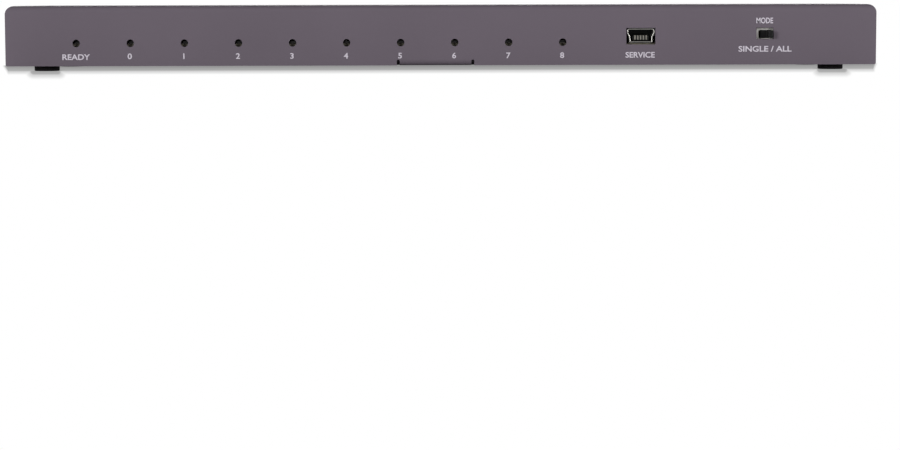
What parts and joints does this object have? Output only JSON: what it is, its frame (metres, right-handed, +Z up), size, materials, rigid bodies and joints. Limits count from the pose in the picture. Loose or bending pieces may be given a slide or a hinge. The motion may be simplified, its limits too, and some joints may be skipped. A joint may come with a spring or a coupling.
{
  "type": "hdmi splitter",
  "caption": "Slim wide metal box that copies one video input to a row of outputs, with indicator holes, a service port and a mode slide switch in front and sockets behind.",
  "frame": {"origin": "middle of the overall box, on the table under the feet", "axes": "+X to the right-hand end seen from the front, +Y to the back, +Z up; the front panel faces -Y"},
  "size_m": [0.245, 0.068, 0.0184],
  "materials": {
    "case_paint": "fine satin dark grey paint on folded steel",
    "tray_paint": "the same paint as the cover",
    "screw_black": "black oxide steel",
    "zinc_steel": "bright zinc plate",
    "plated_steel": "nickel or tin plate, stamped",
    "socket_plastic": "black moulded insulator",
    "contact_gold": "gold flash",
    "board_laminate": "green solder mask",
    "foot_rubber": "black moulded rubber",
    "phenolic": "brown phenolic sheet",
    "knob_plastic": "black moulded plastic",
    "chip_resin": "dark epoxy",
    "pad_silicone": "soft grey-blue pad",
    "bare_aluminium": "plain extruded or drawn",
    "led_resin": "clear resin over a pale base"
  },
  "bodies": {
    "case": {"top_cover": "case_paint", "base_tray": "tray_paint", "side_screws": "screw_black", "tab_screw": "screw_black", "main_board": "board_laminate", "board_standoffs": "zinc_steel", "board_screws": "zinc_steel", "hdmi_contacts": "contact_gold", "dc_jack_body": "socket_plastic", "dc_jack_pin": "plated_steel", "dc_jack_spring": "plated_steel", "usb_shell": "plated_steel", "usb_insulator": "socket_plastic", "usb_contacts": "plated_steel", "switch_frame": "plated_steel", "switch_base": "phenolic", "splitter_chip_left": "chip_resin", "splitter_chip_right": "chip_resin", "thermal_pads": "pad_silicone", "heat_sink_left": "bare_aluminium", "heat_sink_right": "bare_aluminium", "controller_chip": "chip_resin", "crystal_can": "plated_steel", "power_inductor": "chip_resin", "capacitors": "bare_aluminium", "foot_front_left": "foot_rubber", "foot_front_right": "foot_rubber", "foot_rear_left": "foot_rubber", "foot_rear_right": "foot_rubber", "hdmi_in_shell": "plated_steel", "hdmi_in_insulator": "socket_plastic", "hdmi_out_1_shell": "plated_steel", "hdmi_out_1_insulator": "socket_plastic", "hdmi_out_2_shell": "plated_steel", "hdmi_out_2_insulator": "socket_plastic", "hdmi_out_3_shell": "plated_steel", "hdmi_out_3_insulator": "socket_plastic", "hdmi_out_4_shell": "plated_steel", "hdmi_out_4_insulator": "socket_plastic", "hdmi_out_5_shell": "plated_steel", "hdmi_out_5_insulator": "socket_plastic", "hdmi_out_6_shell": "plated_steel", "hdmi_out_6_insulator": "socket_plastic", "hdmi_out_7_shell": "plated_steel", "hdmi_out_7_insulator": "socket_plastic", "hdmi_out_8_shell": "plated_steel", "hdmi_out_8_insulator": "socket_plastic", "power_led": "led_resin", "input_led": "led_resin", "output_led_1": "led_resin", "output_led_2": "led_resin", "output_led_3": "led_resin", "output_led_4": "led_resin", "output_led_5": "led_resin", "output_led_6": "led_resin", "output_led_7": "led_resin", "output_led_8": "led_resin"},
    "mode_slider": {"switch_slider": "knob_plastic", "switch_clip": "contact_gold"}
  },
  "joints": [
    {"name": "mode_switch", "type": "slide", "parent": "case", "child": "mode_slider", "axis": [1, 0, 0], "range_m": [-0.0024, 0]}
  ]
}
